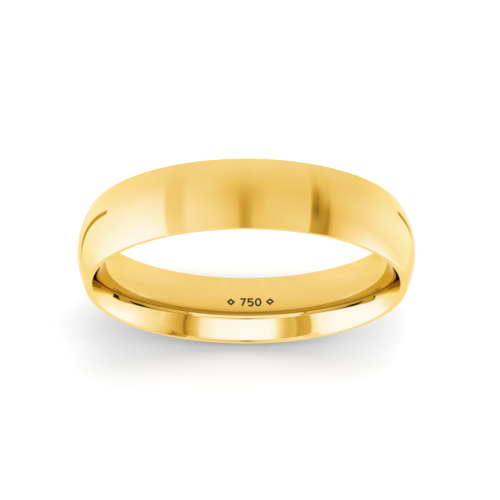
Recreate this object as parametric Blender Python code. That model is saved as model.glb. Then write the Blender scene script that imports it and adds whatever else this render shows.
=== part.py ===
"""Wedding band: a plain court-section gold ring with an inlaid fineness mark inside.

The finger axis runs along Y and +Z is up, so the band stands on its outer crown.
The origin is the centre of the finger hole, half way across the width.
Lengths below are millimetres; MM turns them into metres.
"""

import math

import bmesh
import bpy
from mathutils import Matrix, Vector

MM = 0.001

# Section of the band: domed outside, domed inside, a narrow flat land at each side.
BAND_WIDTH = 5.00
CROWN_DIAMETER = 23.60
BORE_DIAMETER = 19.90
LAND_OUTER_DIAMETER = 22.30
LAND_INNER_DIAMETER = 21.50
OUTER_EDGE_ROUND = 0.12
INNER_EDGE_ROUND = 0.26

# Facets: turns of the band, and steps along each arc of its section.
TURN_STEPS = 96
OUTER_DOME_STEPS = 10
INNER_DOME_STEPS = 10
EDGE_STEPS = 2

# Engraved mark, read from the -Y side: a lozenge, 7, 5, 0 and a lozenge.
GLYPH_HEIGHT = 0.54
GLYPH_WIDTH = 0.36
GLYPH_PITCH = 0.56
LOZENGE_WIDTH = 0.44
LOZENGE_HEIGHT = 0.40
LOZENGE_PITCH = 1.42
STROKE_WIDTH = 0.13
MARK_AROUND = 0.29
MARK_ACROSS = 0.26
ENGRAVING_DEPTH = 0.15
CUTTER_RISE = 0.10
INFILL_GAP = 0.01
INFILL_SUNK = 0.02
ROUND_GLYPH_STEPS = 16
BOWL_STEPS = 10

# Shape of the numerals, as shares of half their width and height, and in degrees.
SEVEN_FOOT = 0.2
FIVE_STEM_TOP = 0.8
FIVE_STEM_FOOT = (0.9, 0.1)
FIVE_BOWL = 0.60
FIVE_BOWL_START = 110
FIVE_BOWL_TURN = 255

GOLD = (0.86, 0.60, 0.20, 1.0)
BLACK_ENAMEL = (0.02, 0.018, 0.015, 1.0)
POLISHED_ROUGHNESS = 0.08
ENAMEL_ROUGHNESS = 0.35
SHARP_ANGLE = 30


def clear_scene():
    for existing in list(bpy.data.objects):
        bpy.data.objects.remove(existing, do_unlink=True)


def make_material(name, colour, metallic, roughness):
    material = bpy.data.materials.new(name)
    material.use_nodes = True
    shader = material.node_tree.nodes["Principled BSDF"]
    shader.inputs["Base Color"].default_value = colour
    shader.inputs["Metallic"].default_value = metallic
    shader.inputs["Roughness"].default_value = roughness
    return material


def add_object(name, mesh_builder, material=None):
    """Finish a bmesh into one named object with outward faces."""
    bmesh.ops.recalc_face_normals(mesh_builder, faces=mesh_builder.faces)
    mesh = bpy.data.meshes.new(name)
    mesh_builder.to_mesh(mesh)
    mesh_builder.free()
    if material:
        mesh.materials.append(material)
    made = bpy.data.objects.new(name, mesh)
    bpy.context.scene.collection.objects.link(made)
    return made


def dome_radius(rise):
    """Radius of the arc that spans the width and rises by this much at its middle."""
    half_width = BAND_WIDTH / 2
    return (half_width ** 2 + rise ** 2) / (2 * rise)


def arc(centre, radius, start, end, steps):
    """Points (across, from axis) whose outward normal turns from start to end."""
    points = []
    for step in range(steps + 1):
        angle = start + (end - start) * step / steps
        across = centre[0] + radius * math.sin(angle)
        from_axis = centre[1] + radius * math.cos(angle)
        points.append((across, from_axis))
    return points


def band_section():
    """Closed convex section, as arcs whose normal makes one full turn."""
    half_width = BAND_WIDTH / 2
    crown = CROWN_DIAMETER / 2
    bore = BORE_DIAMETER / 2
    outer = dome_radius(crown - LAND_OUTER_DIAMETER / 2)
    inner = dome_radius(LAND_INNER_DIAMETER / 2 - bore)
    outer_centre = crown - outer
    inner_centre = bore + inner

    # An edge round touches its dome from inside and the flat land at the side.
    outer_reach = half_width - OUTER_EDGE_ROUND
    outer_drop = math.sqrt((outer - OUTER_EDGE_ROUND) ** 2 - outer_reach ** 2)
    outer_turn = math.atan2(outer_reach, outer_drop)
    inner_reach = half_width - INNER_EDGE_ROUND
    inner_drop = math.sqrt((inner - INNER_EDGE_ROUND) ** 2 - inner_reach ** 2)
    inner_turn = math.atan2(inner_reach, inner_drop)

    outer_edge = outer_centre + outer_drop
    inner_edge = inner_centre - inner_drop
    half = math.pi
    quarter = math.pi / 2
    back_inner = (inner_reach, inner_edge)
    front_inner = (-inner_reach, inner_edge)
    front_outer = (-outer_reach, outer_edge)
    last_turn = 2 * half - outer_turn
    stretches = (
        arc((0, outer_centre), outer, -outer_turn, outer_turn, OUTER_DOME_STEPS),
        arc((outer_reach, outer_edge), OUTER_EDGE_ROUND, outer_turn, quarter, EDGE_STEPS)[1:],
        arc(back_inner, INNER_EDGE_ROUND, quarter, half - inner_turn, EDGE_STEPS),
        arc((0, inner_centre), inner, half - inner_turn, half + inner_turn, INNER_DOME_STEPS)[1:],
        arc(front_inner, INNER_EDGE_ROUND, half + inner_turn, 3 * quarter, EDGE_STEPS)[1:],
        arc(front_outer, OUTER_EDGE_ROUND, 3 * quarter, last_turn, EDGE_STEPS)[:-1],
    )
    return [point for stretch in stretches for point in stretch]


def make_band(material):
    """Spin the section about the finger axis."""
    builder = bmesh.new()
    corners = [
        builder.verts.new((0, across * MM, from_axis * MM))
        for across, from_axis in band_section()
    ]
    outline = [
        builder.edges.new((corner, following))
        for corner, following in zip(corners, corners[1:] + corners[:1])
    ]
    bmesh.ops.spin(
        builder,
        geom=corners + outline,
        cent=(0, 0, 0),
        axis=(0, 1, 0),
        angle=2 * math.pi,
        steps=TURN_STEPS,
        use_merge=True,
    )
    band = add_object("band", builder, material)
    band.data.shade_smooth()
    band.data.set_sharp_from_angle(angle=math.radians(SHARP_ANGLE))
    return band


def seven_path():
    half_width = GLYPH_WIDTH / 2
    half_height = GLYPH_HEIGHT / 2
    foot = (-SEVEN_FOOT * half_width, -half_height)
    return [(-half_width, half_height), (half_width, half_height), foot]


def five_path():
    """Flag, stem and an open bowl that is part of an ellipse."""
    half_width = GLYPH_WIDTH / 2
    half_height = GLYPH_HEIGHT / 2
    bowl_height = FIVE_BOWL * half_height
    bowl_middle = -half_height + bowl_height
    stem_top = (-FIVE_STEM_TOP * half_width, half_height)
    stem_foot = (-FIVE_STEM_FOOT[0] * half_width, FIVE_STEM_FOOT[1] * half_height)
    path = [(half_width, half_height), stem_top, stem_foot]
    for step in range(BOWL_STEPS + 1):
        angle = math.radians(FIVE_BOWL_START - FIVE_BOWL_TURN * step / BOWL_STEPS)
        path.append((half_width * math.cos(angle), bowl_middle + bowl_height * math.sin(angle)))
    return path


def zero_path():
    path = []
    for step in range(ROUND_GLYPH_STEPS):
        angle = 2 * math.pi * step / ROUND_GLYPH_STEPS
        path.append((GLYPH_WIDTH / 2 * math.cos(angle), GLYPH_HEIGHT / 2 * math.sin(angle)))
    return path


def lozenge_path():
    across = LOZENGE_WIDTH / 2
    up = LOZENGE_HEIGHT / 2
    return [(across, 0), (0, up), (-across, 0), (0, -up)]


def offset_path(path, distance, closed):
    """Move every point of a path sideways, with mitred corners."""
    points = [Vector(point) for point in path]
    moved = []
    for index, point in enumerate(points):
        before = points[index - 1] if index or closed else None
        after = points[(index + 1) % len(points)] if closed or index + 1 < len(points) else None
        arriving = (point - before).normalized() if before else (after - point).normalized()
        leaving = (after - point).normalized() if after else arriving
        sideways = Vector((-arriving.y - leaving.y, arriving.x + leaving.x)).normalized()
        mitre = distance / sideways.dot(Vector((-leaving.y, leaving.x)))
        moved.append(point + sideways * mitre)
    return moved


def trim_ends(path, length):
    """Shorten an open path at both ends."""
    points = [Vector(point) for point in path]
    first = points[0] + (points[1] - points[0]).normalized() * length
    last = points[-1] + (points[-2] - points[-1]).normalized() * length
    return [first] + points[1:-1] + [last]


def add_stroke(builder, path, closed, half_stroke, floor, top, frame):
    """Add one closed solid: a stroke of this width, from floor to top in its frame."""
    left = offset_path(path, half_stroke, closed)
    right = offset_path(path, -half_stroke, closed)
    rows = []
    for left_point, right_point in zip(left, right):
        corners = (
            (left_point, top),
            (right_point, top),
            (right_point, floor),
            (left_point, floor),
        )
        placed = [frame @ Vector((flat.x, flat.y, height)) for flat, height in corners]
        rows.append([builder.verts.new(corner) for corner in placed])
    followers = rows[1:] + rows[:1] if closed else rows[1:]
    for row, following in zip(rows, followers):
        for corner in range(4):
            beside = (corner + 1) % 4
            builder.faces.new((row[corner], row[beside], following[beside], following[corner]))
    if not closed:
        builder.faces.new(rows[0])
        builder.faces.new(reversed(rows[-1]))


def glyph_frame(around):
    """Frame on the bore: x along the turn, y across the width, z towards the axis."""
    bore = BORE_DIAMETER / 2
    dome = dome_radius(LAND_INNER_DIAMETER / 2 - bore)
    lean = math.asin(MARK_ACROSS / dome)
    depth = bore + dome * (1 - math.cos(lean))
    turn = Matrix.Rotation(-(MARK_AROUND + around) / bore, 4, "Y")
    place = Matrix.Translation(Vector((0, MARK_ACROSS, -depth)))
    tilt = Matrix.Rotation(-lean, 4, "X")
    return Matrix.Scale(MM, 4) @ turn @ place @ tilt


def mark_glyphs():
    """Name, path, whether it closes, and place along the bore, from left to right."""
    return (
        ("mark_infill_left_lozenge", lozenge_path(), True, -LOZENGE_PITCH),
        ("mark_infill_seven", seven_path(), False, -GLYPH_PITCH),
        ("mark_infill_five", five_path(), False, 0),
        ("mark_infill_zero", zero_path(), True, GLYPH_PITCH),
        ("mark_infill_right_lozenge", lozenge_path(), True, LOZENGE_PITCH),
    )


def engrave(band):
    """Cut the mark's recesses into the bore of the band."""
    builder = bmesh.new()
    for _, path, closed, around in mark_glyphs():
        frame = glyph_frame(around)
        add_stroke(builder, path, closed, STROKE_WIDTH / 2, -ENGRAVING_DEPTH, CUTTER_RISE, frame)
    cutter = add_object("mark_cutter", builder)
    cutter.hide_render = True
    cutter.display_type = "WIRE"
    cut = band.modifiers.new("engraving", "BOOLEAN")
    cut.operation = "DIFFERENCE"
    cut.solver = "EXACT"
    cut.object = cutter


def make_infills(material):
    """Fill each recess with its own piece of black enamel, a hair clear of the metal."""
    half_stroke = STROKE_WIDTH / 2 - INFILL_GAP
    floor = -ENGRAVING_DEPTH + INFILL_GAP
    for name, path, closed, around in mark_glyphs():
        builder = bmesh.new()
        run = path if closed else trim_ends(path, INFILL_GAP)
        add_stroke(builder, run, closed, half_stroke, floor, -INFILL_SUNK, glyph_frame(around))
        add_object(name, builder, material)


def main():
    clear_scene()
    gold = make_material("polished_gold", GOLD, 1.0, POLISHED_ROUGHNESS)
    enamel = make_material("black_enamel", BLACK_ENAMEL, 0.0, ENAMEL_ROUGHNESS)
    band = make_band(gold)
    engrave(band)
    make_infills(enamel)


main()
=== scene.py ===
"""Looks of the gold wedding band: a fine turned band, its enamelled mark and the studio.

The band stands on its crown with the finger axis along Y, as the CAD frame has it.
Lengths named below are millimetres unless a comment says otherwise; MM makes them metres.
"""

import math

import bmesh
import bpy
from mathutils import Matrix, Vector


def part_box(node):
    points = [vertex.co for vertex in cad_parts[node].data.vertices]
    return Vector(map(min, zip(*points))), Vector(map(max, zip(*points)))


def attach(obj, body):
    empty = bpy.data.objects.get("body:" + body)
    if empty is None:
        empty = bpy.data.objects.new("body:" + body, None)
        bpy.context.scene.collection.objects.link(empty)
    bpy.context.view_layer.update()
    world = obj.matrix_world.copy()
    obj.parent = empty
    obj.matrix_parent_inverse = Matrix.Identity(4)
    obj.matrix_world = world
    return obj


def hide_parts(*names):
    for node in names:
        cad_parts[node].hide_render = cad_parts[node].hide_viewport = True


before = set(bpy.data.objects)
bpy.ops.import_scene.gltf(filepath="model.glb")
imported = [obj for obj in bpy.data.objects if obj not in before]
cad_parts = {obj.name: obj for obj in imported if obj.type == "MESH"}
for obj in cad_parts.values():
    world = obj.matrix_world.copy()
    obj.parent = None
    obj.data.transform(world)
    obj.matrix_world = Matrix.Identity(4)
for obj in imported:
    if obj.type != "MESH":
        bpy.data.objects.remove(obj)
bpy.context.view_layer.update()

MM = 0.001

# The CAD band's box gives the width and the crown; the bore and the lands are part.py's.
band_low, band_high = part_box("band")
BAND_WIDTH = (band_high.y - band_low.y) / MM
CROWN_DIAMETER = (band_high.z - band_low.z) / MM
BORE_DIAMETER = 19.90
LAND_OUTER_DIAMETER = 22.30
LAND_INNER_DIAMETER = 21.50
OUTER_EDGE_ROUND = 0.12
INNER_EDGE_ROUND = 0.26

# Fineness of the visible band, which replaces the faceted one. Angles here are degrees.
TURN_STEPS = 512
DOME_STEPS = 44
EDGE_STEPS = 8
SHARP_ANGLE = 30

# Engraved mark, as in part.py: a lozenge, 7, 5, 0 and a lozenge.
GLYPH_HEIGHT = 0.54
GLYPH_WIDTH = 0.36
GLYPH_PITCH = 0.56
LOZENGE_WIDTH = 0.44
LOZENGE_HEIGHT = 0.40
LOZENGE_PITCH = 1.42
SEVEN_FOOT = 0.2
FIVE_BOWL = 0.60
FIVE_STEM = (0.8, 0.9, 0.1)
FIVE_BOWL_START = 110
FIVE_BOWL_TURN = 255
STROKE_WIDTH = 0.13
MARK_AROUND = 0.29
MARK_ACROSS = 0.26
ENGRAVING_DEPTH = 0.15
CUTTER_RISE = 0.10
INFILL_GAP = 0.003
INFILL_SUNK = 0.02
INFILL_EDGE_ROUND = 0.012
INFILL_EDGE_STEPS = 3
INFILL_EDGE_ANGLE = 60
ROUND_GLYPH_STEPS = 48
BOWL_STEPS = 30

# Colours, linear. GOLD_EDGE is the gold's tint at a grazing angle.
GOLD = (0.81, 0.59, 0.17)
GOLD_DEEP = (0.80, 0.57, 0.155)
GOLD_EDGE = (0.95, 0.84, 0.48)
ENAMEL = (0.012, 0.010, 0.009)
ENAMEL_DUST = (0.04, 0.032, 0.022)
ENAMEL_SHEEN = (0.60, 0.45, 0.13)
FLOOR_WHITE = (0.8, 0.8, 0.8)
FLOOR_ROUGHNESS = 0.9
FLOOR_REACH = 3000.0
FILL_LIGHT = 1.10
BACKDROP_LIGHT = 1.2

# Gold: noise scales, where crowding is along the axis and stretch is round it, and roughness
# from the smoothest to the roughest place.
CLOUD_SCALE = 160.0
BORE_LINE_SCALE = 55.0
BORE_LINE_CROWDING = 12.0
HANDLING_SCALE = 6.0
HANDLING_STRETCH = 0.35
HANDLING_CROWDING = 900.0
HANDLING_HEIGHT = 0.25
OUTER_ROUGHNESS = (0.012, 0.035)
BORE_ROUGHNESS = (0.02, 0.06)
GOLD_BUMP_STRENGTH = 0.1
GOLD_BUMP_HEIGHT = 0.001

# Enamel: grain and dust scales per metre.
GRAIN_SCALE = 9000.0
DUST_SCALE = 30000.0
ENAMEL_ROUGHNESS = (0.32, 0.5)
ENAMEL_BUMP_STRENGTH = 0.4
ENAMEL_BUMP_HEIGHT = 0.004

# Camera, in degrees and in crown radii; the lens and its nearest view are millimetres.
CAMERA_ELEVATION = 68.19
CAMERA_DISTANCE = 18.95
CAMERA_LENS = 231.2
AIM_RIGHT = 0.0218
AIM_UP = 0.0287
NEAREST_VIEW = 1.0

# Lamps: degrees to the right and back from overhead, spread in degrees, and strength.
LAMPS = (
    ("right_lamp", 48, 8, 44, 0.84),
    ("left_lamp", -45, 15, 40, 0.20),
    ("back_lamp", 15, 35, 40, 0.33),
    ("top_lamp", 0, 8, 20, 0.46),
)

# The studio that the metal mirrors is a sphere of radius 1, far away. Its strips of light run
# along the finger axis, each in a plane through one line, STRIP_PIVOT below the middle. They
# fan out by STRIP_SPREAD for each degree of belt. A belt is the angle from the ring's
# plane towards +Y. A row gives its plane's angle, doubled, from straight up towards +X in
# degrees, and its tones at the first four belts. The last belt has one tone all round.
# Tone 1 is a bare white light, 0.8 plain gold, 0.5 a dark flag.
STRIP_PIVOT = 0.928
STRIP_SPREAD = 0.0004
STUDIO_BELTS = (-20, 0, 20, 40, 68)
LAST_BELT_TONE = 0.827
HALF_TURN = 180
STUDIO_ROWS = (
    (-180, 0.83, 0.80, 0.70, 0.70),
    (-165, 0.83, 0.84, 0.92, 0.90),
    (-140, 0.90, 0.90, 0.935, 0.90),
    (-126, 0.98, 0.955, 0.93, 0.89),
    (-75, 0.985, 0.955, 0.92, 0.85),
    (-57.3, 0.945, 0.93, 0.89, 0.83),
    (-54.8, 0.85, 0.82, 0.80, 0.80),
    (-45.3, 0.83, 0.80, 0.79, 0.795),
    (-39.5, 0.88, 0.88, 0.845, 0.82),
    (-20, 0.84, 0.82, 0.80, 0.80),
    (-10, 0.79, 0.765, 0.735, 0.775),
    (-5.8, 0.76, 0.72, 0.71, 0.77),
    (-3.7, 0.64, 0.64, 0.68, 0.77),
    (-1, 0.60, 0.60, 0.675, 0.77),
    (1.5, 0.64, 0.64, 0.68, 0.77),
    (5.5, 0.76, 0.72, 0.71, 0.78),
    (14, 0.79, 0.785, 0.77, 0.78),
    (43.5, 0.83, 0.795, 0.77, 0.78),
    (45, 0.63, 0.52, 0.62, 0.765),
    (48.5, 0.60, 0.38, 0.50, 0.72),
    (51, 0.58, 0.53, 0.63, 0.755),
    (55, 0.53, 0.56, 0.70, 0.75),
    (57, 0.47, 0.50, 0.69, 0.745),
    (59, 0.65, 0.68, 0.76, 0.765),
    (62, 0.74, 0.74, 0.775, 0.77),
    (72, 0.84, 0.79, 0.80, 0.785),
    (84, 0.90, 0.835, 0.83, 0.79),
    (94, 0.95, 0.86, 0.865, 0.82),
    (107, 0.995, 0.87, 0.90, 0.86),
    (130, 0.99, 0.89, 0.945, 0.89),
    (154, 0.92, 0.91, 0.965, 0.93),
    (180, 0.83, 0.80, 0.70, 0.70),
)

# Two thin dark lines near the ends: start and end angle, belt at the start, drop to the end,
# 2 where the drop grows along the line or 1 where it is even, and the thickness. A line is full
# dark over LINE_CORE of its thickness, and shows between the ends of LINE_RUN.
STUDIO_LINES = (
    (-109, -160, 26.0, 13.5, 2, 2.3),
    (127, 168, 29.5, 11.5, 1, 1.5),
)
LINE_TONE = 0.58
LINE_CORE = 0.4
LINE_RUN = (0.001, 0.999)

# Below this upward part of the direction, the studio gives way to a plain floor.
FLOOR_TONE = 0.865
FLOOR_FADE = (-0.72, -0.86)

# Light that plain gold sends back at each tone: deep brown in the flags, amber, then white.
GOLD_TONES = (
    (0.10, (0.010, 0.007, 0.001)),
    (0.43, (0.318, 0.156, 0.009)),
    (0.573, (0.552, 0.287, 0.022)),
    (0.667, (0.708, 0.402, 0.051)),
    (0.769, (0.855, 0.552, 0.122)),
    (0.847, (0.939, 0.687, 0.266)),
    (0.898, (0.965, 0.784, 0.418)),
    (0.941, (0.982, 0.871, 0.600)),
    (0.976, (0.991, 0.947, 0.840)),
)

# A level card hangs in front of the band. Its glow faces down, so only the near part of the
# bore mirrors it. It fans out away from the band by CARD_FAN of its width for each millimetre.
# Its tones are given across its near end, as (millimetres towards +X, tone).
CARD_HEIGHT = 5.0
CARD_NEAR = -2.9
CARD_FAR = -24.0
CARD_FAN = 0.0175
CARD_TONES = (
    (-19.5, 0.955),
    (-16.0, 0.945),
    (-13.2, 0.88),
    (-12.6, 0.85),
    (-12.4, 0.68),
    (-10.5, 0.65),
    (-8.8, 0.61),
    (-8.1, 0.63),
    (-7.9, 0.735),
    (-6.5, 0.69),
    (-5.6, 0.735),
    (-4.8, 0.835),
    (-4.0, 0.945),
    (-3.0, 0.98),
    (3.5, 0.985),
    (5.9, 0.935),
    (7.0, 0.91),
    (7.7, 0.80),
    (8.3, 0.75),
    (9.4, 0.68),
    (10.8, 0.56),
    (11.1, 0.44),
    (11.6, 0.44),
    (12.0, 0.61),
    (14.6, 0.68),
    (17.1, 0.725),
    (20.7, 0.79),
    (24.0, 0.83),
    (29.0, 0.875),
)

# An amber card closes the far end of the hole. Its glow faces the front, so only the bore
# mirrors it. Its tones go up from its foot, as (millimetres from the finger axis, tone). It glows
# more low down at both sides, and is darker high up at the right.
HOLE_CARD_PLACE = 2.52
HOLE_CARD_RADIUS = 11.04
HOLE_CARD_TONES = (
    (-11.04, 0.83),
    (-7.0, 0.80),
    (0.0, 0.75),
    (6.0, 0.69),
    (9.5, 0.62),
    (11.04, 0.58),
)
HOLE_CARD_LOW = (-4.0, -7.0)
HOLE_CARD_GLOW = 0.075
HOLE_CARD_GLOW_FROM_MIDDLE = (3.0, 8.5)
HOLE_CARD_SHADE = 0.05
HOLE_CARD_SHADE_RIGHT = (2.5, 8.0)
HOLE_CARD_STREAKS = 0.06
STREAK_SCALE = 1500.0
ROUND_STAGE_STEPS = 96

# Light that the bore mirrors twice. The front card's tones go by the distance from its middle,
# with dark patches at both sides: inner and outer side, near and far end. The studio's go by
# the belt, from one (degrees, tone) to another. The hole card is dimmer. Light mirrored more
# often has one tone on the front card and one in the studio.
TWICE_TONES = (
    (0.0, 0.745),
    (3.0, 0.72),
    (4.5, 0.65),
    (6.5, 0.62),
    (11.0, 0.585),
    (17.0, 0.585),
    (27.0, 0.68),
)
TWICE_PATCHES = (
    (7.0, 10.6, -7.6, -17.4),
    (17.7, 27.0, -5.5, -18.0),
)
PATCH_SOFTNESS = 0.6
PATCH_TONE = 0.03
STUDIO_TWICE = ((-9.0, 0.60), (-24.0, 0.91))
HOLE_CARD_DIMMING = 0.76
CARD_OFTEN_TONE = 0.52
STUDIO_OFTEN_TONE = 0.36

# Limits on counts of light path bounces, half way between whole numbers. The gold's own colour
# is taken out of the light for MOST_UNDONE mirrorings at most.
NO_BOUNCE = 0.5
MORE_THAN_ONCE = 1.5
MORE_THAN_TWICE = 2.5
MOST_UNDONE = 3.0

# ---------------------------------------------------------------- geometry

def dome_radius(rise):
    """Radius of the arc that spans the width and rises by this much at its middle."""
    half_width = BAND_WIDTH / 2
    return (half_width ** 2 + rise ** 2) / (2 * rise)


def arc(centre, radius, start, end, steps):
    """Points (across, from axis) whose outward normal turns from start to end."""
    points = []
    for step in range(steps + 1):
        angle = start + (end - start) * step / steps
        across = centre[0] + radius * math.sin(angle)
        from_axis = centre[1] + radius * math.cos(angle)
        points.append((across, from_axis))
    return points


def band_section():
    """Closed convex section, as arcs whose normal makes one full turn."""
    half_width = BAND_WIDTH / 2
    crown = CROWN_DIAMETER / 2
    bore = BORE_DIAMETER / 2
    outer = dome_radius(crown - LAND_OUTER_DIAMETER / 2)
    inner = dome_radius(LAND_INNER_DIAMETER / 2 - bore)
    outer_centre = crown - outer
    inner_centre = bore + inner
    outer_reach = half_width - OUTER_EDGE_ROUND
    outer_drop = math.sqrt((outer - OUTER_EDGE_ROUND) ** 2 - outer_reach ** 2)
    outer_turn = math.atan2(outer_reach, outer_drop)
    inner_reach = half_width - INNER_EDGE_ROUND
    inner_drop = math.sqrt((inner - INNER_EDGE_ROUND) ** 2 - inner_reach ** 2)
    inner_turn = math.atan2(inner_reach, inner_drop)
    outer_edge = outer_centre + outer_drop
    inner_edge = inner_centre - inner_drop
    quarter = math.pi / 2
    half = math.pi
    turn = 2 * math.pi
    stretches = (
        ((0, outer_centre), outer, -outer_turn, outer_turn, DOME_STEPS),
        ((outer_reach, outer_edge), OUTER_EDGE_ROUND, outer_turn, quarter, EDGE_STEPS),
        ((inner_reach, inner_edge), INNER_EDGE_ROUND, quarter, half - inner_turn, EDGE_STEPS),
        ((0, inner_centre), inner, half - inner_turn, half + inner_turn, DOME_STEPS),
        ((-inner_reach, inner_edge), INNER_EDGE_ROUND, half + inner_turn, 3 * quarter, EDGE_STEPS),
        ((-outer_reach, outer_edge), OUTER_EDGE_ROUND, 3 * quarter, turn - outer_turn, EDGE_STEPS),
    )
    points = []
    for stretch in stretches:
        for point in arc(*stretch):
            if not points or math.dist(point, points[-1]) > OUTER_EDGE_ROUND / 100:
                points.append(point)
    return points[:-1]


def add_mesh(name, builder, material=None, closed=True):
    """Finish a bmesh into one named object; a closed one gets outward faces."""
    if closed:
        bmesh.ops.recalc_face_normals(builder, faces=builder.faces)
    mesh = bpy.data.meshes.new(name)
    builder.to_mesh(mesh)
    builder.free()
    if material:
        mesh.materials.append(material)
    made = bpy.data.objects.new(name, mesh)
    bpy.context.scene.collection.objects.link(made)
    return made


def turned_band(material):
    """Spin the fine section about the finger axis."""
    builder = bmesh.new()
    corners = []
    for across, from_axis in band_section():
        corners.append(builder.verts.new((0, across * MM, from_axis * MM)))
    outline = [builder.edges.new(pair) for pair in zip(corners, corners[1:] + corners[:1])]
    bmesh.ops.spin(
        builder,
        geom=corners + outline,
        cent=(0, 0, 0),
        axis=(0, 1, 0),
        angle=2 * math.pi,
        steps=TURN_STEPS,
        use_merge=True,
    )
    return add_mesh("band_fine", builder, material)


def seven_path():
    half_width = GLYPH_WIDTH / 2
    half_height = GLYPH_HEIGHT / 2
    return [
        (-half_width, half_height),
        (half_width, half_height),
        (-SEVEN_FOOT * half_width, -half_height),
    ]


def five_path():
    """Flag, stem and an open bowl that is part of an ellipse."""
    half_width = GLYPH_WIDTH / 2
    half_height = GLYPH_HEIGHT / 2
    bowl_height = FIVE_BOWL * half_height
    bowl_middle = -half_height + bowl_height
    stem_top, stem_foot, stem_level = FIVE_STEM
    path = [
        (half_width, half_height),
        (-stem_top * half_width, half_height),
        (-stem_foot * half_width, stem_level * half_height),
    ]
    for step in range(BOWL_STEPS + 1):
        angle = math.radians(FIVE_BOWL_START - FIVE_BOWL_TURN * step / BOWL_STEPS)
        path.append((half_width * math.cos(angle), bowl_middle + bowl_height * math.sin(angle)))
    return path


def zero_path():
    path = []
    for step in range(ROUND_GLYPH_STEPS):
        angle = 2 * math.pi * step / ROUND_GLYPH_STEPS
        path.append((GLYPH_WIDTH / 2 * math.cos(angle), GLYPH_HEIGHT / 2 * math.sin(angle)))
    return path


def lozenge_path():
    across = LOZENGE_WIDTH / 2
    up = LOZENGE_HEIGHT / 2
    return [(across, 0), (0, up), (-across, 0), (0, -up)]


def mark_glyphs():
    """CAD node, path, whether it closes, and place along the bore, from left to right."""
    return (
        ("mark_infill_left_lozenge", lozenge_path(), True, -LOZENGE_PITCH),
        ("mark_infill_seven", seven_path(), False, -GLYPH_PITCH),
        ("mark_infill_five", five_path(), False, 0),
        ("mark_infill_zero", zero_path(), True, GLYPH_PITCH),
        ("mark_infill_right_lozenge", lozenge_path(), True, LOZENGE_PITCH),
    )


def offset_path(path, distance, closed):
    """Move every point of a path sideways, with mitred corners."""
    points = [Vector(point) for point in path]
    moved = []
    for index, point in enumerate(points):
        before = points[index - 1] if index or closed else None
        after = points[(index + 1) % len(points)] if closed or index + 1 < len(points) else None
        arriving = (point - before).normalized() if before else (after - point).normalized()
        leaving = (after - point).normalized() if after else arriving
        sideways = Vector((-arriving.y - leaving.y, arriving.x + leaving.x)).normalized()
        mitre = distance / sideways.dot(Vector((-leaving.y, leaving.x)))
        moved.append(point + sideways * mitre)
    return moved


def trim_ends(path, length):
    """Shorten an open path at both ends."""
    points = [Vector(point) for point in path]
    first = points[0] + (points[1] - points[0]).normalized() * length
    last = points[-1] + (points[-2] - points[-1]).normalized() * length
    return [first] + points[1:-1] + [last]


def add_stroke(builder, path, closed, half_stroke, floor, top, place):
    """Add one closed solid: a stroke of this width, from floor to top in its frame."""
    left = offset_path(path, half_stroke, closed)
    right = offset_path(path, -half_stroke, closed)
    rows = []
    for left_point, right_point in zip(left, right):
        corners = ((left_point, top), (right_point, top), (right_point, floor), (left_point, floor))
        row = []
        for flat, height in corners:
            row.append(builder.verts.new(place @ Vector((flat.x, flat.y, height))))
        rows.append(row)
    followers = rows[1:] + rows[:1] if closed else rows[1:]
    for row, following in zip(rows, followers):
        for corner in range(4):
            beside = (corner + 1) % 4
            builder.faces.new((row[corner], row[beside], following[beside], following[corner]))
    if not closed:
        builder.faces.new(rows[0])
        builder.faces.new(reversed(rows[-1]))


def glyph_frame(around):
    """Frame on the bore: x along the turn, y across the width, z towards the axis."""
    bore = BORE_DIAMETER / 2
    dome = dome_radius(LAND_INNER_DIAMETER / 2 - bore)
    lean = math.asin(MARK_ACROSS / dome)
    depth = bore + dome * (1 - math.cos(lean))
    turn = Matrix.Rotation(-(MARK_AROUND + around) / bore, 4, "Y")
    place = Matrix.Translation(Vector((0, MARK_ACROSS, -depth)))
    tilt = Matrix.Rotation(-lean, 4, "X")
    return Matrix.Scale(MM, 4) @ turn @ place @ tilt


def apply_modifiers(made):
    """Keep the shape that the modifiers give, and drop them."""
    graph = bpy.context.evaluated_depsgraph_get()
    made.data = bpy.data.meshes.new_from_object(made.evaluated_get(graph))
    made.modifiers.clear()


def engrave(band):
    """Cut the mark's recesses into the bore."""
    builder = bmesh.new()
    half_stroke = STROKE_WIDTH / 2
    for _, path, closed, around in mark_glyphs():
        place = glyph_frame(around)
        add_stroke(builder, path, closed, half_stroke, -ENGRAVING_DEPTH, CUTTER_RISE, place)
    cutter = add_mesh("mark_cutter", builder)
    cut = band.modifiers.new("engraving", "BOOLEAN")
    cut.operation = "DIFFERENCE"
    cut.solver = "EXACT"
    cut.object = cutter
    apply_modifiers(band)
    bpy.data.objects.remove(cutter)


def make_band(material):
    band = turned_band(material)
    engrave(band)
    band.data.shade_smooth()
    band.data.set_sharp_from_angle(angle=math.radians(SHARP_ANGLE))
    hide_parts("band")
    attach(band, "root")
    return band


def make_infill(node, path, closed, around, material):
    """One piece of enamel with softened edges, a hair below the metal."""
    builder = bmesh.new()
    run = path if closed else trim_ends(path, INFILL_GAP)
    half_stroke = STROKE_WIDTH / 2 - INFILL_GAP
    floor = -ENGRAVING_DEPTH + INFILL_GAP
    add_stroke(builder, run, closed, half_stroke, floor, -INFILL_SUNK, glyph_frame(around))
    infill = add_mesh(node.replace("infill", "enamel"), builder, material)
    soften = infill.modifiers.new("soft_edges", "BEVEL")
    soften.width = INFILL_EDGE_ROUND * MM
    soften.segments = INFILL_EDGE_STEPS
    soften.angle_limit = math.radians(INFILL_EDGE_ANGLE)
    apply_modifiers(infill)
    infill.data.shade_smooth()
    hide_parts(node)
    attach(infill, "root")
    return infill


# ---------------------------------------------------------------- node helpers

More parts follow.
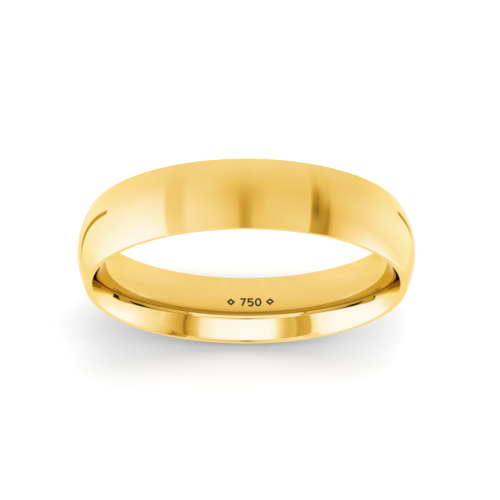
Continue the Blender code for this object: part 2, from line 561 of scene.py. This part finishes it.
class Graph:
    """Adds nodes to one tree. A value may be a number, a colour or another node's output."""

    def __init__(self, tree):
        self.tree = tree
        tree.nodes.clear()

    def add(self, kind, **settings):
        node = self.tree.nodes.new(kind)
        for name, value in settings.items():
            setattr(node, name, value)
        return node

    def feed(self, socket, value):
        if isinstance(value, bpy.types.NodeSocket):
            self.tree.links.new(value, socket)
        else:
            socket.default_value = value

    def math(self, operation, *values):
        node = self.add("ShaderNodeMath", operation=operation)
        for socket, value in zip(node.inputs, values):
            self.feed(socket, value)
        return node.outputs[0]

    def distance(self, first, second):
        """Length of the hypotenuse over two values."""
        squares = self.math("MULTIPLY_ADD", first, first, self.math("MULTIPLY", second, second))
        return self.math("SQRT", squares)

    def remap(self, value, low, high, out_low=0.0, out_high=1.0, smooth=False):
        node = self.add("ShaderNodeMapRange")
        node.interpolation_type = "SMOOTHSTEP" if smooth else "LINEAR"
        for socket, given in zip(node.inputs, (value, low, high, out_low, out_high)):
            self.feed(socket, given)
        return node.outputs[0]

    def mix(self, factor, first, second, blend="MIX"):
        node = self.add("ShaderNodeMix", data_type="RGBA", blend_type=blend)
        self.feed(node.inputs["Factor"], factor)
        self.feed(node.inputs["A"], first)
        self.feed(node.inputs["B"], second)
        return node.outputs["Result"]

    def blend_values(self, factor, first, second):
        node = self.add("ShaderNodeMix", data_type="FLOAT")
        self.feed(node.inputs["Factor"], factor)
        self.feed(node.inputs["A"], first)
        self.feed(node.inputs["B"], second)
        return node.outputs["Result"]

    def ramp(self, value, stops):
        """Colour ramp through (place, colour) stops; returns its node."""
        node = self.add("ShaderNodeValToRGB")
        elements = node.color_ramp.elements
        while len(elements) > 1:
            elements.remove(elements[-1])
        elements[0].position, elements[0].color = stops[0]
        for place, colour in stops[1:]:
            elements.new(place).color = colour
        self.feed(node.inputs["Fac"], value)
        return node

    def vector(self, x, y, z):
        node = self.add("ShaderNodeCombineXYZ")
        for socket, value in zip(node.inputs, (x, y, z)):
            self.feed(socket, value)
        return node.outputs[0]

    def noise(self, where, scale, detail=2.0):
        node = self.add("ShaderNodeTexNoise")
        self.feed(node.inputs["Vector"], where)
        node.inputs["Scale"].default_value = scale
        node.inputs["Detail"].default_value = detail
        return node.outputs["Fac"]


def opaque(colour):
    return (*colour, 1.0)


# ---------------------------------------------------------------- materials

def gold_material():
    """Mirror gold outside with faint handling marks; the bore has fine lines along the finger."""
    material = bpy.data.materials.new("gold_finish")
    material.use_nodes = True
    graph = Graph(material.node_tree)
    place = graph.add("ShaderNodeTexCoord").outputs["Object"]
    parts = graph.add("ShaderNodeSeparateXYZ")
    graph.feed(parts.inputs[0], place)
    across_x, along, up = parts.outputs
    from_axis = graph.distance(across_x, up)
    turned = graph.math("ARCTAN2", across_x, up)
    land_inner = LAND_INNER_DIAMETER / 2 * MM
    land_outer = LAND_OUTER_DIAMETER / 2 * MM
    outside = graph.remap(from_axis, land_inner, land_outer, smooth=True)

    bore_place = graph.vector(turned, graph.math("MULTIPLY", along, BORE_LINE_CROWDING), 0.0)
    bore_lines = graph.noise(bore_place, BORE_LINE_SCALE)
    handling_place = graph.vector(
        graph.math("MULTIPLY", turned, HANDLING_STRETCH),
        graph.math("MULTIPLY", along, HANDLING_CROWDING),
        3.0,
    )
    handling = graph.noise(handling_place, HANDLING_SCALE)
    clouds = graph.remap(graph.noise(place, CLOUD_SCALE, 3.0), 0.35, 0.65, smooth=True)

    tint = graph.mix(clouds, opaque(GOLD), opaque(GOLD_DEEP))
    outer_rough = graph.remap(handling, 0.45, 0.75, *OUTER_ROUGHNESS)
    bore_rough = graph.remap(bore_lines, 0.3, 0.7, *BORE_ROUGHNESS)
    marks = graph.math("MULTIPLY", handling, HANDLING_HEIGHT)

    bump = graph.add("ShaderNodeBump")
    bump.inputs["Strength"].default_value = GOLD_BUMP_STRENGTH
    bump.inputs["Distance"].default_value = GOLD_BUMP_HEIGHT * MM
    graph.feed(bump.inputs["Height"], graph.blend_values(outside, bore_lines, marks))

    shader = graph.add("ShaderNodeBsdfPrincipled")
    shader.inputs["Metallic"].default_value = 1.0
    shader.inputs["Specular Tint"].default_value = opaque(GOLD_EDGE)
    graph.feed(shader.inputs["Base Color"], tint)
    graph.feed(shader.inputs["Roughness"], graph.blend_values(outside, bore_rough, outer_rough))
    graph.feed(shader.inputs["Normal"], bump.outputs[0])
    output = graph.add("ShaderNodeOutputMaterial")
    graph.feed(output.inputs["Surface"], shader.outputs[0])
    return material


def enamel_material():
    """Black enamel, semi-gloss, with a fine uneven surface and a little dust."""
    material = bpy.data.materials.new("enamel_finish")
    material.use_nodes = True
    graph = Graph(material.node_tree)
    place = graph.add("ShaderNodeTexCoord").outputs["Object"]
    grain = graph.noise(place, GRAIN_SCALE, 4.0)
    dust = graph.remap(graph.noise(place, DUST_SCALE), 0.55, 0.8)
    bump = graph.add("ShaderNodeBump")
    bump.inputs["Strength"].default_value = ENAMEL_BUMP_STRENGTH
    bump.inputs["Distance"].default_value = ENAMEL_BUMP_HEIGHT * MM
    graph.feed(bump.inputs["Height"], grain)
    shader = graph.add("ShaderNodeBsdfPrincipled")
    shader.inputs["Specular Tint"].default_value = opaque(ENAMEL_SHEEN)
    graph.feed(shader.inputs["Base Color"], graph.mix(dust, opaque(ENAMEL), opaque(ENAMEL_DUST)))
    graph.feed(shader.inputs["Roughness"], graph.remap(grain, 0.3, 0.7, *ENAMEL_ROUGHNESS))
    graph.feed(shader.inputs["Normal"], bump.outputs[0])
    output = graph.add("ShaderNodeOutputMaterial")
    graph.feed(output.inputs["Surface"], shader.outputs[0])
    return material


# ---------------------------------------------------------------- studio

def mirror_count(graph):
    """How often the gold mirrors the light on its way to the camera."""
    return graph.add("ShaderNodeLightPath").outputs["Glossy Depth"]


def by_mirrorings(graph, once, twice, often):
    """Choose between tones by how often the gold mirrors the light."""
    count = mirror_count(graph)
    tone = graph.blend_values(graph.math("GREATER_THAN", count, MORE_THAN_ONCE), once, twice)
    return graph.blend_values(graph.math("GREATER_THAN", count, MORE_THAN_TWICE), tone, often)


def gold_tone_colour(graph, tone):
    """Light whose mirror image in the gold has this tone, however often it is mirrored."""
    mirrorings = graph.math("MINIMUM", mirror_count(graph), MOST_UNDONE)
    seen = graph.ramp(tone, [(place, opaque(colour)) for place, colour in GOLD_TONES])
    undo_gold = graph.add("ShaderNodeCombineColor")
    for socket, channel in zip(undo_gold.inputs, GOLD):
        graph.feed(socket, graph.math("POWER", 1 / channel, mirrorings))
    return graph.mix(1.0, seen.outputs["Color"], undo_gold.outputs[0], "MULTIPLY")


def studio_line(graph, tone, around, height, line):
    """Draw one thin dark line, which sinks from its start to its end."""
    start, end, level, drop, growth, thickness = line
    run = graph.remap(around, start, end)
    sunk = graph.math("MULTIPLY", graph.math("POWER", run, growth), drop)
    off_line = graph.math("SUBTRACT", height, graph.math("SUBTRACT", level, sunk))
    off_line = graph.math("ABSOLUTE", off_line)
    begun = graph.math("GREATER_THAN", run, LINE_RUN[0])
    unfinished = graph.math("LESS_THAN", run, LINE_RUN[1])
    inside = graph.math("MULTIPLY", begun, unfinished)
    across_line = graph.remap(off_line, thickness, thickness * LINE_CORE, smooth=True)
    return graph.blend_values(graph.math("MULTIPLY", inside, across_line), tone, LINE_TONE)


def studio_strips(graph, around, height):
    """Tone of the strips of light, from the rows and belts."""
    stops = []
    for row_angle, *tones in STUDIO_ROWS:
        stops.append(((row_angle + HALF_TURN) / (2 * HALF_TURN), tones))
    rows = graph.ramp(graph.remap(around, -HALF_TURN, HALF_TURN), stops)
    channels = graph.add("ShaderNodeSeparateColor")
    graph.feed(channels.inputs[0], rows.outputs["Color"])
    belts = (*channels.outputs, rows.outputs["Alpha"], LAST_BELT_TONE)
    tone = belts[0]
    for low, high, following in zip(STUDIO_BELTS, STUDIO_BELTS[1:], belts[1:]):
        tone = graph.blend_values(graph.remap(height, low, high), tone, following)
    return tone


def studio_tone(graph, direction):
    """Tone of the studio in one direction."""
    parts = graph.add("ShaderNodeSeparateXYZ")
    graph.feed(parts.inputs[0], direction)
    right, back, up = parts.outputs
    plane = graph.math("ARCTAN2", right, graph.math("ADD", up, STRIP_PIVOT))
    height = graph.math("DEGREES", graph.math("ARCSINE", back))
    unspread = 1 - STRIP_SPREAD * STUDIO_BELTS[2]
    spread = graph.math("MULTIPLY_ADD", height, STRIP_SPREAD, unspread)
    doubled = graph.math("MULTIPLY", spread, 2.0)
    around = graph.math("MULTIPLY", graph.math("DEGREES", plane), doubled)
    tone = studio_strips(graph, around, height)
    for line in STUDIO_LINES:
        tone = studio_line(graph, tone, around, height, line)
    tone = graph.blend_values(graph.remap(up, *FLOOR_FADE, smooth=True), tone, FLOOR_TONE)
    (from_height, from_tone), (to_height, to_tone) = STUDIO_TWICE
    twice = graph.remap(height, from_height, to_height, from_tone, to_tone, smooth=True)
    return by_mirrorings(graph, tone, twice, STUDIO_OFTEN_TONE)


def make_world():
    """Mirrors see the studio, the floor is lit evenly, and the background is white."""
    world = bpy.data.worlds.new("studio")
    world.use_nodes = True
    bpy.context.scene.world = world
    graph = Graph(world.node_tree)
    direction = graph.add("ShaderNodeTexCoord").outputs["Generated"]
    mirrored = gold_tone_colour(graph, studio_tone(graph, direction))
    path = graph.add("ShaderNodeLightPath")
    neutral = opaque(tuple(min(GOLD) / channel for channel in GOLD))
    diffuse_before = graph.math("GREATER_THAN", path.outputs["Diffuse Depth"], NO_BOUNCE)
    mirrored = graph.mix(diffuse_before, mirrored, neutral)
    fill = opaque((FILL_LIGHT,) * 3)
    backdrop = opaque((BACKDROP_LIGHT,) * 3)
    plain = graph.mix(path.outputs["Is Camera Ray"], fill, backdrop)
    colour = graph.mix(path.outputs["Is Glossy Ray"], plain, mirrored)
    background = graph.add("ShaderNodeBackground")
    graph.feed(background.inputs["Color"], colour)
    output = graph.add("ShaderNodeOutputWorld")
    graph.feed(output.inputs["Surface"], background.outputs[0])


def make_floor():
    """White floor under the band, which the metal doesn't mirror."""
    builder = bmesh.new()
    bmesh.ops.create_circle(
        builder, cap_ends=True, segments=ROUND_STAGE_STEPS, radius=FLOOR_REACH * MM
    )
    material = bpy.data.materials.new("floor_white")
    material.use_nodes = True
    shader = material.node_tree.nodes["Principled BSDF"]
    shader.inputs["Base Color"].default_value = opaque(FLOOR_WHITE)
    shader.inputs["Roughness"].default_value = FLOOR_ROUGHNESS
    shader.inputs["Specular IOR Level"].default_value = 0.0
    floor = add_mesh("floor", builder, material)
    floor.location.z = band_low.z
    floor.visible_glossy = False


def in_metres(millimetres):
    return [place * MM for place in millimetres]


def grey_stops(tones):
    """Colour ramp stops for (place, tone) pairs, spread from 0 to 1."""
    first = tones[0][0]
    length = tones[-1][0] - first
    return [((place - first) / length, (tone, tone, tone, 1.0)) for place, tone in tones]


def tones_along(graph, place, tones):
    """Tone at a place in metres, from (millimetre, tone) pairs."""
    along = graph.remap(place, tones[0][0] * MM, tones[-1][0] * MM)
    return graph.ramp(along, grey_stops(tones)).outputs["Color"]


def add_reflector(name, builder, card_tone):
    """A card that glows from its front, for mirrors only. card_tone gives its tone at x, y, z."""
    material = bpy.data.materials.new(name)
    material.use_nodes = True
    graph = Graph(material.node_tree)
    parts = graph.add("ShaderNodeSeparateXYZ")
    graph.feed(parts.inputs[0], graph.add("ShaderNodeTexCoord").outputs["Object"])
    tone = card_tone(graph, *parts.outputs)
    glow = graph.add("ShaderNodeEmission")
    graph.feed(glow.inputs["Color"], gold_tone_colour(graph, tone))
    from_behind = graph.add("ShaderNodeNewGeometry").outputs["Backfacing"]
    one_sided = graph.add("ShaderNodeMixShader")
    graph.feed(one_sided.inputs[0], from_behind)
    graph.feed(one_sided.inputs[1], glow.outputs[0])
    graph.feed(one_sided.inputs[2], graph.add("ShaderNodeBsdfTransparent").outputs[0])
    output = graph.add("ShaderNodeOutputMaterial")
    graph.feed(output.inputs["Surface"], one_sided.outputs[0])
    card = add_mesh(name, builder, material, closed=False)
    card.visible_camera = False
    card.visible_diffuse = False
    card.visible_shadow = False
    card.visible_transmission = False


def patch_edge(graph, place, side, towards):
    """1 beyond a side given in millimetres, in the direction towards, or else 0."""
    softness = towards * PATCH_SOFTNESS
    return graph.remap(place, (side - softness) * MM, (side + softness) * MM, smooth=True)


def front_card_tone(graph, x, y, z):
    """Tones across the front card, with the dark patches for light mirrored twice."""
    gone = graph.math("SUBTRACT", CARD_NEAR * MM, y)
    across = graph.math("DIVIDE", x, graph.math("MULTIPLY_ADD", gone, CARD_FAN / MM, 1.0))
    once = tones_along(graph, across, CARD_TONES)
    from_middle = graph.math("ABSOLUTE", across)
    twice = tones_along(graph, from_middle, TWICE_TONES)
    for inner, outer, near, far in TWICE_PATCHES:
        sides = ((from_middle, inner, 1), (from_middle, outer, -1), (y, near, -1), (y, far, 1))
        strength = 1.0
        for place, side, towards in sides:
            edge = patch_edge(graph, place, side, towards)
            strength = graph.math("MULTIPLY", strength, edge)
        twice = graph.blend_values(strength, twice, PATCH_TONE)
    return by_mirrorings(graph, once, twice, CARD_OFTEN_TONE)


def make_front_card():
    left = CARD_TONES[0][0]
    right = CARD_TONES[-1][0]
    wider = 1 + CARD_FAN * (CARD_NEAR - CARD_FAR)
    outline = (
        (left, CARD_NEAR),
        (right, CARD_NEAR),
        (right * wider, CARD_FAR),
        (left * wider, CARD_FAR),
    )
    builder = bmesh.new()
    builder.faces.new([builder.verts.new((x * MM, y * MM, CARD_HEIGHT * MM)) for x, y in outline])
    add_reflector("front_card", builder, front_card_tone)


def hole_card_tone(graph, x, y, z):
    """Tones up the hole card, with its glow, its shade and faint upright streaks."""
    tone = tones_along(graph, z, HOLE_CARD_TONES)
    low = graph.remap(z, *in_metres(HOLE_CARD_LOW), smooth=True)
    outer = graph.remap(graph.math("ABSOLUTE", x), *in_metres(HOLE_CARD_GLOW_FROM_MIDDLE))
    tone = graph.math("MULTIPLY_ADD", graph.math("MULTIPLY", low, outer), HOLE_CARD_GLOW, tone)
    high = graph.math("SUBTRACT", 1.0, low)
    right = graph.remap(x, *in_metres(HOLE_CARD_SHADE_RIGHT))
    tone = graph.math("MULTIPLY_ADD", graph.math("MULTIPLY", high, right), -HOLE_CARD_SHADE, tone)
    streaks = graph.math("SUBTRACT", graph.noise(graph.vector(x, 0.0, 0.0), STREAK_SCALE, 3.0), 0.5)
    tone = graph.math("MULTIPLY_ADD", streaks, HOLE_CARD_STREAKS, tone)
    dimmed = graph.math("MULTIPLY", tone, HOLE_CARD_DIMMING)
    return by_mirrorings(graph, tone, dimmed, dimmed)


def make_hole_card():
    builder = bmesh.new()
    lift = Matrix.Translation((0, HOLE_CARD_PLACE * MM, 0))
    bmesh.ops.create_circle(
        builder,
        cap_ends=True,
        segments=ROUND_STAGE_STEPS,
        radius=HOLE_CARD_RADIUS * MM,
        matrix=lift @ Matrix.Rotation(math.pi / 2, 4, "X"),
    )
    add_reflector("hole_card", builder, hole_card_tone)


def make_lamp(name, to_right, to_back, spread, strength):
    """A broad distant lamp, leaning right and back from overhead, that no mirror shows."""
    lamp = bpy.data.lights.new(name, "SUN")
    lamp.angle = math.radians(spread)
    lamp.energy = strength
    sun = bpy.data.objects.new(name, lamp)
    bpy.context.scene.collection.objects.link(sun)
    source = Vector((math.tan(math.radians(to_right)), math.tan(math.radians(to_back)), 1))
    sun.rotation_euler = source.to_track_quat("Z", "Y").to_euler()
    sun.visible_glossy = False


def make_camera():
    """Camera steeply above the front of the band."""
    crown = CROWN_DIAMETER / 2 * MM
    elevation = math.radians(CAMERA_ELEVATION)
    towards = Vector((0, -math.cos(elevation), math.sin(elevation)))
    upwards = Vector((0, math.sin(elevation), math.cos(elevation)))
    aim = crown * (AIM_RIGHT * Vector((1, 0, 0)) + AIM_UP * upwards)
    lens = bpy.data.cameras.new("camera")
    lens.lens = CAMERA_LENS
    lens.clip_start = NEAREST_VIEW * MM
    camera = bpy.data.objects.new("camera", lens)
    camera.location = aim + towards * crown * CAMERA_DISTANCE
    camera.rotation_euler = towards.to_track_quat("Z", "Y").to_euler()
    bpy.context.scene.collection.objects.link(camera)
    bpy.context.scene.camera = camera


def main():
    gold = gold_material()
    enamel = enamel_material()
    make_band(gold)
    for node, path, closed, around in mark_glyphs():
        make_infill(node, path, closed, around, enamel)
    make_camera()
    make_world()
    make_floor()
    make_front_card()
    make_hole_card()
    for lamp in LAMPS:
        make_lamp(*lamp)
    bpy.context.scene.view_settings.view_transform = "Standard"


main()
